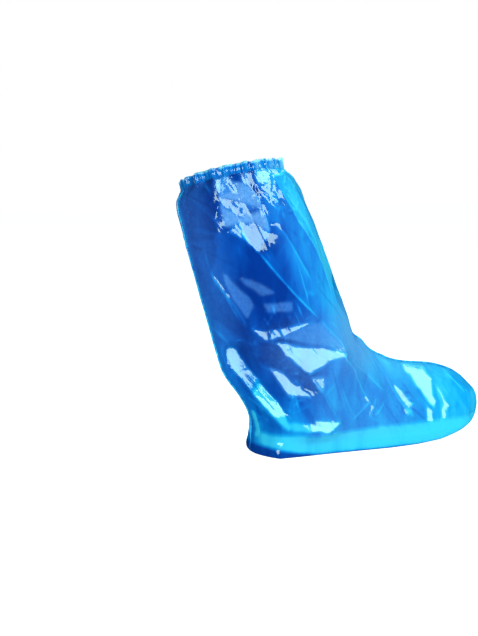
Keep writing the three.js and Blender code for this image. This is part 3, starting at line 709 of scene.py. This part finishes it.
def calculate(tree, operation, a, b):
    return node(tree, "ShaderNodeMath", {0: a, 1: b}, operation=operation).outputs["Value"]


def noise(tree, place, scale, detail=2.0):
    inputs = {"Vector": place, "Scale": scale, "Detail": detail}
    return node(tree, "ShaderNodeTexNoise", inputs).outputs["Fac"]


def between(tree, value, low, high, to_low=0.0, to_high=1.0):
    inputs = {"Value": value, "From Min": low, "From Max": high, "To Min": to_low, "To Max": to_high}
    return node(tree, "ShaderNodeMapRange", inputs).outputs["Result"]


def color_ramp(tree, share, first, last, *others):
    """The color at a share of the way. Each stop is a place and a color."""
    made = node(tree, "ShaderNodeValToRGB", {"Fac": share})
    elements = made.color_ramp.elements
    for row, (at, color) in enumerate((first, last, *others)):
        element = elements[row] if row < 2 else elements.new(at)
        element.position, element.color = at, (*color, 1)
    return made.outputs["Color"]


def new_material(name):
    material = bpy.data.materials.new(name)
    material.use_nodes = True
    material.node_tree.nodes.clear()
    return material, material.node_tree


def crumple_group():
    """Fine crumples of the film: a height for its bump, from a place on the film."""
    group = bpy.data.node_groups.new("film_crumples", "ShaderNodeTree")
    group.interface.new_socket("Place", in_out="INPUT", socket_type="NodeSocketVector")
    group.interface.new_socket("Height", in_out="OUTPUT", socket_type="NodeSocketFloat")
    place = node(group, "NodeGroupInput").outputs["Place"]
    cells = node(group, "ShaderNodeTexVoronoi", {"Vector": place, "Scale": 55.0}, feature="DISTANCE_TO_EDGE")
    creases = between(group, cells.outputs["Distance"], 0.0, 0.12)
    worn = between(group, noise(group, place, 14.0), 0.45, 0.7)
    crushed = calculate(group, "MULTIPLY", creases, worn)
    total = calculate(group, "ADD", crushed, noise(group, place, 90.0, 3.0))
    node(group, "NodeGroupOutput", {"Height": total})
    return group


CRUMPLE_DEPTH = 0.0004
film_crumples = crumple_group()


def glossy_film(tree, place, color, roughness, ior, tint, crumpled, lit_through):
    """Glossy film with fine crumples. Some light comes through it from behind."""
    crumples = node(tree, "ShaderNodeGroup", {"Place": place}, node_tree=film_crumples).outputs["Height"]
    inputs = {"Height": crumples, "Strength": crumpled, "Distance": CRUMPLE_DEPTH}
    bump = node(tree, "ShaderNodeBump", inputs).outputs["Normal"]
    glossy = node(tree, "ShaderNodeBsdfPrincipled", {
        "Base Color": color, "Roughness": roughness, "IOR": ior, "Specular Tint": (*tint, 1),
        "Normal": bump,
    }).outputs["BSDF"]
    through = node(tree, "ShaderNodeBsdfTranslucent", {"Color": color}).outputs["BSDF"]
    either = node(tree, "ShaderNodeMixShader", {"Fac": lit_through, 1: glossy, 2: through}).outputs["Shader"]
    node(tree, "ShaderNodeOutputMaterial", {"Surface": either})


# Film seen by its tone, from deep blue to light cyan
FILM_COLORS = [
    (0.0, (0.0004, 0.02, 0.17)),
    (1.0, (0.03, 0.42, 0.62)),
    (0.25, (0.001, 0.055, 0.3)),
    (0.5, (0.002, 0.13, 0.44)),
    (0.78, (0.005, 0.27, 0.56)),
]
# The pale bloom of old folds, also used for painted sheen
BLOOM_AND_SHEEN_COLOR = (0.1, 0.24, 0.5)
FILM_GLINT = (0.95, 1.0, 0.78)


def film_material(name):
    material, tree = new_material(name)
    place = node(tree, "ShaderNodeTexCoord").outputs["Object"]
    # The tone attribute carries painted light and shade, the haze attribute the bloom and painted sheen
    tone = node(tree, "ShaderNodeAttribute", attribute_name="tone").outputs["Fac"]
    haze = node(tree, "ShaderNodeAttribute", attribute_name="haze").outputs["Fac"]
    # Long soft streaks run along the leg, where the film is drawn between the gathers and the foot.
    leg_way = node(tree, "ShaderNodeMapping", {
        "Vector": place, "Rotation": (0.0, LEG_LEAN, 0.0), "Scale": (60.0, 60.0, 7.0),
    }).outputs["Vector"]
    streaks = between(tree, noise(tree, leg_way, 1.0, 4.0), 0.3, 0.7, -0.1, 0.1)
    blue = color_ramp(tree, calculate(tree, "ADD", tone, streaks), *FILM_COLORS)
    # Old folds and rubbed places have a pale bloom, with painted sheen, in fine specks.
    specks = between(tree, noise(tree, place, 260.0, 2.0), 0.35, 0.65, 0.7)
    bloom_and_sheen = calculate(tree, "MULTIPLY", haze, specks)
    inputs = {"Factor": bloom_and_sheen, "A": blue, "B": (*BLOOM_AND_SHEEN_COLOR, 1)}
    color = node(tree, "ShaderNodeMix", inputs, data_type="RGBA").outputs["Result"]
    roughness = between(tree, bloom_and_sheen, 0.0, 1.0, 0.07, 0.3)
    glossy_film(tree, place, color, roughness, ior=1.52, tint=FILM_GLINT, crumpled=0.25, lit_through=0.3)
    return material


film = film_material("film")
outer_film = panel_mesh("outer_film", -1, OUTER_FACETS, OUTER_CREASES, seed=11)
inner_film = panel_mesh("inner_film", 1, INNER_FACETS, INNER_CREASES, seed=23)
for piece, replaced in ((outer_film, "outer_panel"), (inner_film, "inner_panel")):
    piece.data.materials.append(film)
    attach(piece, "root")
    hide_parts(replaced)


# Gathered hem
# The upper edge of the panels is turned in over an elastic and closed. The elastic draws the doubled film
# into close puckers. Sizes in metres, out from the edge of the panels and up from it.
HEM_PLACES = 1500
PUCKER_HEIGHT = 0.0022
PUCKER_SPACING = 0.0042
PUCKER_UP_SHARE = 0.15
HEM_EDGE_WAVER = 0.0012
HEM_EDGE_FROM = 0.008
HEM_EDGE_HEIGHT = 0.0036
RIM_EASING = (40, 6)
# out, up, pucker: share of the pucker's height there
HEM_PROFILE = [
    (-0.0002, -0.0012, 0.0), (0.0001, 0.0006, 0.25), (0.0003, 0.0022, 0.5), (0.0004, 0.0038, 0.6),
    (0.0003, 0.005, 0.6), (0.0003, 0.0065, 0.65), (0.0005, 0.008, 0.8), (0.0007, 0.0093, 1.0),
    (0.0006, 0.0104, 1.1), (-0.0001, 0.0113, 1.2), (-0.0011, 0.0116, 1.2), (-0.002, 0.011, 1.0),
    (-0.0025, 0.0095, 0.7), (-0.0027, 0.007, 0.5), (-0.0027, 0.004, 0.4), (-0.0026, 0.0015, 0.4),
    (-0.0022, -0.001, 0.3), (-0.0017, -0.004, 0.2), (-0.0016, -0.0062, 0.1),
]
# Colours of the hem: painted shade in the hollows of the puckers, the film's blue on their sides, and a
# painted highlight on their tips and upper edge
HEM_PAINTED_SHADE = (0.0006, 0.03, 0.2)
HEM_SIDE = (0.002, 0.13, 0.42)
HEM_PAINTED_HIGHLIGHT = (0.22, 0.55, 0.6)


def rim_line():
    """The upper edge of both panels as one ring, with the way out of the hem and the film's tone there."""
    rows = []
    for panel in (outer_film, inner_film):
        tones = panel.data.attributes["tone"].data
        places = panel.data.vertices
        rows.append(np.array([(*places[i].co, tones[i].value) for i in range(PANEL_COLUMNS + 1)]))
    ring = np.concatenate([rows[0][:-1], rows[1][::-1][:-1]])
    ring = np.concatenate([ring, ring[:1]])
    run = np.concatenate([[0], np.cumsum(np.linalg.norm(np.diff(ring[:, :3], axis=0), axis=1))])
    places = np.linspace(0, run[-1], HEM_PLACES, endpoint=False)
    ring, tone = np.split(np.stack([np.interp(places, run, v) for v in ring.T], axis=1), [3], axis=1)
    calm_ring = ring
    times, reach = RIM_EASING
    for _ in range(times):
        calm_ring = (np.roll(calm_ring, reach, axis=0) + calm_ring + np.roll(calm_ring, -reach, axis=0)) / 3
    along = np.roll(calm_ring, -1, axis=0) - np.roll(calm_ring, 1, axis=0)
    out = np.cross(along, RIM_UP)
    out /= np.linalg.norm(out, axis=1, keepdims=True)
    if (out * (calm_ring - calm_ring.mean(axis=0))).sum() < 0:
        out = -out
    return ring, out, tone[:, 0]


def ring_mesh(name, profile):
    """A band that follows the rim, with a row of faces for each step of its profile. A profile that ends
    where it starts makes a closed tube."""
    closed = profile[0] == profile[-1]
    ring, out, tone = rim_line()
    points = np.stack([ring + out * o + RIM_UP * u for o, u, *_ in (profile[:-1] if closed else profile)])
    index = np.arange(points.size // 3).reshape(points.shape[:2])
    low, high = (index, np.roll(index, -1, axis=0)) if closed else (index[:-1], index[1:])
    quads = np.stack([low, high, np.roll(high, -1, axis=1), np.roll(low, -1, axis=1)], axis=-1)
    piece = new_piece(name, points, quads.reshape(-1, 4).tolist())
    piece.data.shade_smooth()
    return piece, out, tone


def shape_tree(name, sockets):
    """A new node tree for a shape, with its named inputs."""
    tree = bpy.data.node_groups.new(name, "GeometryNodeTree")
    for socket, kind in {"Geometry": "Geometry", **sockets}.items():
        tree.interface.new_socket(socket, in_out="INPUT", socket_type="NodeSocket" + kind)
    tree.interface.new_socket("Geometry", in_out="OUTPUT", socket_type="NodeSocketGeometry")
    return tree, node(tree, "NodeGroupInput").outputs


def end_tree(tree, geometry, material):
    plain = node(tree, "GeometryNodeRealizeInstances", {"Geometry": geometry}).outputs["Geometry"]
    coat = node(tree, "GeometryNodeSetMaterial", {"Geometry": plain, "Material": material})
    node(tree, "NodeGroupOutput", {"Geometry": coat.outputs["Geometry"]})


def named(tree, name, kind):
    inputs = {"Name": name}
    return node(tree, "GeometryNodeInputNamedAttribute", inputs, data_type=kind).outputs["Attribute"]


def scaled(tree, vector, by):
    inputs = {0: vector, "Scale": by}
    return node(tree, "ShaderNodeVectorMath", inputs, operation="SCALE").outputs["Vector"]


def pucker_tree(material):
    """Close ridges and hollows over a gathered casing, and a wavering upper edge."""
    tree, given = shape_tree("hem_puckers", {
        "Pucker height": "Float", "Pucker spacing": "Float", "Edge waver": "Float", "Seed": "Float",
    })
    spacing = calculate(tree, "DIVIDE", 0.5, given["Pucker spacing"])
    ridges = node(tree, "ShaderNodeTexNoise", {
        "Vector": scaled(tree, named(tree, "rim_place", "FLOAT_VECTOR"), spacing), "W": given["Seed"],
        "Detail": 1.0, "Scale": 1.0,
    }, noise_dimensions="4D").outputs["Fac"]
    fold = calculate(tree, "MULTIPLY", calculate(tree, "SUBTRACT", ridges, 0.5), 3.0)
    rise = calculate(tree, "MULTIPLY", fold, given["Pucker height"])
    rise = calculate(tree, "MULTIPLY", rise, named(tree, "pucker", "FLOAT"))
    edge = calculate(tree, "MULTIPLY", fold, given["Edge waver"])
    edge = calculate(tree, "MULTIPLY", edge, named(tree, "edge", "FLOAT"))
    both = node(tree, "ShaderNodeVectorMath", {
        0: scaled(tree, named(tree, "outward", "FLOAT_VECTOR"), rise),
        1: scaled(tree, named(tree, "upward", "FLOAT_VECTOR"), edge),
    }).outputs["Vector"]
    moved = node(tree, "GeometryNodeSetPosition", {"Geometry": given["Geometry"], "Offset": both})
    end_tree(tree, moved.outputs["Geometry"], material)
    return tree


def made_plain(piece, tree, values):
    """The result of a node tree on a piece, as a plain mesh without the modifier."""
    modifier = piece.modifiers.new("shape", "NODES")
    modifier.node_group = tree
    for socket in tree.interface.items_tree:
        if socket.item_type == "SOCKET" and socket.in_out == "INPUT" and socket.name in values:
            modifier[socket.identifier] = values[socket.name]
    evaluated = piece.evaluated_get(bpy.context.evaluated_depsgraph_get())
    mesh = bpy.data.meshes.new_from_object(evaluated)
    piece.modifiers.remove(modifier)
    piece.data = mesh
    mesh.shade_smooth()


def hem_material(name):
    material, tree = new_material(name)
    place = node(tree, "ShaderNodeTexCoord").outputs["Object"]
    tip = node(tree, "ShaderNodeAttribute", attribute_name="tip").outputs["Fac"]
    color = color_ramp(tree, tip, (0.05, HEM_PAINTED_SHADE), (1.0, HEM_PAINTED_HIGHLIGHT), (0.5, HEM_SIDE))
    glossy_film(tree, place, color, 0.1, ior=1.5, tint=(1.0, 1.0, 1.0), crumpled=0.3, lit_through=0.25)
    return material


hem, hem_out, film_tone = ring_mesh("gathered_hem", HEM_PROFILE)
steps = len(HEM_PROFILE)
places = np.array([v.co for v in hem.data.vertices])
first_row = np.tile(places[:HEM_PLACES], (steps, 1))
# The puckers change fast along the rim and slowly up the hem
rim_place = first_row + RIM_UP * (places - first_row) @ RIM_UP[:, None] * PUCKER_UP_SHARE
outward = np.tile(hem_out, (steps, 1))
edge_share = [max(0.0, up - HEM_EDGE_FROM) / HEM_EDGE_HEIGHT for _, up, _ in HEM_PROFILE]
edge_share = np.repeat(edge_share, HEM_PLACES)
add_attribute(hem.data, "rim_place", "FLOAT_VECTOR", rim_place)
add_attribute(hem.data, "outward", "FLOAT_VECTOR", outward)
add_attribute(hem.data, "upward", "FLOAT_VECTOR", np.tile(RIM_UP, (len(places), 1)))
add_attribute(hem.data, "pucker", "FLOAT", np.repeat([p for _, _, p in HEM_PROFILE], HEM_PLACES))
add_attribute(hem.data, "edge", "FLOAT", edge_share)
made_plain(hem, pucker_tree(hem_material("hem_film")), {
    "Pucker height": PUCKER_HEIGHT, "Pucker spacing": PUCKER_SPACING, "Edge waver": HEM_EDGE_WAVER,
    "Seed": 7.0,
})
# The tip share paints a highlight on raised puckers and the upper edge and shade in the hollows, over the
# film's tone
lifted = ((np.array([v.co for v in hem.data.vertices]) - places) * outward).sum(axis=1) / PUCKER_HEIGHT
tip = 0.22 + 0.55 * np.tile(film_tone, steps) + 0.7 * lifted + 0.4 * edge_share
add_attribute(hem.data, "tip", "FLOAT", np.clip(tip, 0, 1))
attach(hem, "root")
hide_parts("top_hem")


# Elastic
# A flat strip of pale rubber with fine ribs lies loose inside the hem, all the way round.
# It is slightly stretched when the cover is worn. Sizes in metres, as for the hem.
ELASTIC_PROFILE = [
    (-0.0007, 0.0035), (-0.0007, 0.0065), (-0.0007, 0.0095), (-0.0011, 0.0097), (-0.0015, 0.0097),
    (-0.0019, 0.0095), (-0.0019, 0.0065), (-0.0019, 0.0035), (-0.0015, 0.0033), (-0.0011, 0.0033),
    (-0.0007, 0.0035),
]


def elastic_material(name):
    material, tree = new_material(name)
    place = node(tree, "ShaderNodeTexCoord").outputs["Object"]
    inputs = {"Vector": place, "Scale": 220.0, "Distortion": 1.5}
    ribs = node(tree, "ShaderNodeTexWave", inputs, bands_direction="Z").outputs["Fac"]
    bump = node(tree, "ShaderNodeBump", {"Height": ribs, "Distance": 0.0002, "Strength": 0.5})
    shader = node(tree, "ShaderNodeBsdfPrincipled", {
        "Base Color": color_ramp(tree, ribs, (0.0, (0.3, 0.45, 0.55)), (1.0, (0.45, 0.6, 0.7))),
        "Roughness": 0.7, "Normal": bump.outputs["Normal"],
    })
    node(tree, "ShaderNodeOutputMaterial", {"Surface": shader.outputs["BSDF"]})
    return material


elastic, _, _ = ring_mesh("elastic", ELASTIC_PROFILE)
elastic.data.materials.append(elastic_material("elastic"))
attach(elastic, "root")
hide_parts("elastic_band")


# Welded edge
# The panels are joined all round by a hot bar, which leaves a thin stiff edge with a row of short marks.
# It stands out from the front of the leg, the toe and the back, and lies flat under the sole.
WELD_OUT = 0.0022
WELD_OUT_UNDER_SOLE = 0.0002
WELD_IN = 0.001
WELD_THICKNESS = 0.0007
WELD_STEP = 0.002
HEEL_FIN = 0.002
HEEL_FIN_HEIGHT = 0.036
HEEL_FIN_REACH = 0.012
RIPPLE_HEIGHT = 0.0004
RIPPLE_LENGTH = 0.011
MARK_SPACING = 0.0036
MARK_SIZE = (0.0016, 0.0011, 0.0016)
MARKS_OUT = 0.35


def seam_line():
    """The line where the panels meet: from the rim down the front, round toe and sole, and up the back."""
    rows = LEG_ROWS + FOOT_ROWS + 1
    columns = PANEL_COLUMNS + 1
    front = [outer_film.data.vertices[r * columns].co for r in range(rows)]
    back = [outer_film.data.vertices[r * columns + PANEL_COLUMNS].co for r in range(rows)]
    line = np.array([(p.x, 0.0, p.z) for p in front + back[::-1]])
    sole = np.concatenate([np.zeros(rows), section_at(np.linspace(0, 2, rows))[::-1, 7]])
    keep = np.concatenate([[True], np.linalg.norm(np.diff(line, axis=0), axis=1) > 1e-5])
    line, sole = line[keep], sole[keep]
    run = np.concatenate([[0], np.cumsum(np.linalg.norm(np.diff(line, axis=0), axis=1))])
    places = np.arange(0, run[-1], WELD_STEP)
    line = np.stack([np.interp(places, run, line[:, k]) for k in range(3)], axis=1)
    along = np.gradient(line, axis=0)
    out = np.stack([-along[:, 2], np.zeros(len(line)), along[:, 0]], axis=1)
    out /= np.linalg.norm(out, axis=1, keepdims=True)
    return line, out, np.interp(places, run, sole)


def weld_tree(material):
    """A stiff edge along a line, with short marks of the weld bar on it."""
    tree, given = shape_tree("welded_edge", {"Mark spacing": "Float", "Mark size": "Vector"})
    split = node(tree, "GeometryNodeSeparateGeometry", {
        "Geometry": given["Geometry"], "Selection": named(tree, "mark_line", "BOOLEAN"),
    }, domain="POINT")
    line = node(tree, "GeometryNodeMeshToCurve", {"Mesh": split.outputs["Selection"]}).outputs["Curve"]
    inputs = {"Curve": line, "Length": given["Mark spacing"]}
    points = node(tree, "GeometryNodeCurveToPoints", inputs, mode="LENGTH")
    mark = node(tree, "GeometryNodeMeshCube", {"Size": given["Mark size"]}).outputs["Mesh"]
    marks = node(tree, "GeometryNodeInstanceOnPoints", {
        "Points": points.outputs["Points"], "Instance": mark, "Rotation": points.outputs["Rotation"],
    })
    both = node(tree, "GeometryNodeJoinGeometry")
    for part in (split.outputs["Inverted"], marks.outputs["Instances"]):
        tree.links.new(part, both.inputs["Geometry"])
    end_tree(tree, both.outputs["Geometry"], material)
    return tree


def weld_material(name):
    material, tree = new_material(name)
    cloud = noise(tree, node(tree, "ShaderNodeTexCoord").outputs["Object"], 150.0)
    color = color_ramp(tree, cloud, (0.3, (0.003, 0.12, 0.42)), (0.7, (0.02, 0.36, 0.6)))
    shader = node(tree, "ShaderNodeBsdfPrincipled", {"Base Color": color, "Roughness": 0.2})
    node(tree, "ShaderNodeOutputMaterial", {"Surface": shader.outputs["BSDF"]})
    return material


line, line_out, on_sole = seam_line()
# The film is pulled out into a small fin at the corner of the heel
at_heel = (line_out[:, 0] < -0.5) * np.exp(-(((line[:, 2] - HEEL_FIN_HEIGHT) / HEEL_FIN_REACH) ** 2))
out_by = mix(WELD_OUT, WELD_OUT_UNDER_SOLE, np.clip(on_sole * 3, 0, 1) * (1 - at_heel)) + HEEL_FIN * at_heel
ripple = RIPPLE_HEIGHT * np.sin(np.arange(len(line)) * WELD_STEP / RIPPLE_LENGTH) * (1 - on_sole)
root, middle, edge = -line_out * WELD_IN, line_out * (out_by * 0.4)[:, None], line_out * out_by[:, None]
quarter = WELD_THICKNESS / 4
across = np.array([0.0, 1.0, 0.0])
points = np.stack([
    line + root - across * WELD_THICKNESS,
    line + middle - across * WELD_THICKNESS / 2,
    line + edge + across * (ripple - quarter)[:, None],
    line + edge + across * (ripple + quarter)[:, None],
    line + middle + across * WELD_THICKNESS / 2,
    line + root + across * WELD_THICKNESS,
], axis=1)
first_mark = points.size // 3
index = np.arange(first_mark).reshape(points.shape[:2])
after = np.roll(index, -1, axis=1)
quads = np.stack([index[:-1], index[1:], after[1:], after[:-1]], axis=-1).reshape(-1, 4).tolist()
quads += [index[0].tolist(), index[-1][::-1].tolist()]
mark_points = (line + line_out * (WELD_OUT * MARKS_OUT))[on_sole < 0.3]
near = np.linalg.norm(np.diff(mark_points, axis=0), axis=1) < 2 * WELD_STEP
edges = [(first_mark + i, first_mark + i + 1) for i in np.flatnonzero(near).tolist()]
weld = new_piece("welded_edge", points.reshape(-1, 3).tolist() + mark_points.tolist(), quads, edges)
layer = weld.data.attributes.new("mark_line", "BOOLEAN", "POINT")
layer.data.foreach_set("value", [False] * first_mark + [True] * len(mark_points))
made_plain(weld, weld_tree(weld_material("weld")), {"Mark spacing": MARK_SPACING, "Mark size": MARK_SIZE})
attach(weld, "root")
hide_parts("seam_weld")


# Floor and light
# A white table and a white room, which the film reflects only faintly. One large soft light beside the
# camera shines on the facets, a second one on the heel, and one overhead.
FLOOR_HALF = 6
FLOOR_HEIGHT = -0.0012
FLOOR_GLOW = 0.97
FLOOR_IN_GLOSS = (0.0, 0.06, 0.2, 1)
ROOM_COLOR = (0.1, 0.5, 1.0, 1)
ROOM_STRENGTH = 0.4
LIGHT_COLOR = (0.73, 0.99, 0.9)
corners = [(-1, -1), (1, -1), (1, 1), (-1, 1)]
points = [(x * FLOOR_HALF, y * FLOOR_HALF, FLOOR_HEIGHT) for x, y in corners]
floor = new_piece("floor", points, [(0, 1, 2, 3)])
floor_material, tree = new_material("floor")
table = node(tree, "ShaderNodeBsdfPrincipled", {
    "Base Color": (0.5, 0.5, 0.5, 1), "Roughness": 0.9, "Specular IOR Level": 0.0,
    "Emission Color": (1, 1, 1, 1), "Emission Strength": FLOOR_GLOW,
}).outputs["BSDF"]
mirrored = node(tree, "ShaderNodeBsdfDiffuse", {"Color": FLOOR_IN_GLOSS}).outputs["BSDF"]
glossy_ray = node(tree, "ShaderNodeLightPath").outputs["Is Glossy Ray"]
split = node(tree, "ShaderNodeMixShader", {"Fac": glossy_ray, 1: table, 2: mirrored}).outputs["Shader"]
node(tree, "ShaderNodeOutputMaterial", {"Surface": split})
floor.data.materials.append(floor_material)

world = bpy.data.worlds.new("studio")
bpy.context.scene.world = world
world.use_nodes = True
tree = world.node_tree
tree.nodes.clear()
room = node(tree, "ShaderNodeBackground", {"Color": ROOM_COLOR, "Strength": ROOM_STRENGTH})
backdrop = node(tree, "ShaderNodeBackground", {"Color": (1, 1, 1, 1), "Strength": 1.0})
camera_ray = node(tree, "ShaderNodeLightPath").outputs["Is Camera Ray"]
either = node(tree, "ShaderNodeMixShader", {
    "Fac": camera_ray, 1: room.outputs["Background"], 2: backdrop.outputs["Background"],
}).outputs["Shader"]
node(tree, "ShaderNodeOutputWorld", {"Surface": either})


def softbox(name, place, target, size, power):
    light = bpy.data.lights.new(name, "AREA")
    light.shape = "RECTANGLE"
    light.size, light.size_y = size
    light.energy = power
    light.color = LIGHT_COLOR
    lamp = bpy.data.objects.new(name, light)
    lamp.location = place
    away = Vector(target) - Vector(place)
    lamp.rotation_euler = away.to_track_quat("-Z", "Y").to_euler()
    bpy.context.scene.collection.objects.link(lamp)


softbox("key", (0.18, -1.22, 0.85), (-0.02, -0.04, 0.2), (0.62, 1.1), 33)
softbox("heel_light", (-0.95, -0.93, 0.19), (-0.05, 0.0, 0.1), (0.5, 0.37), 9)
softbox("top", (0.35, 0.25, 1.5), (0.05, 0.0, 0.15), (1.3, 1.0), 30)

bpy.context.scene.view_settings.view_transform = "Standard"
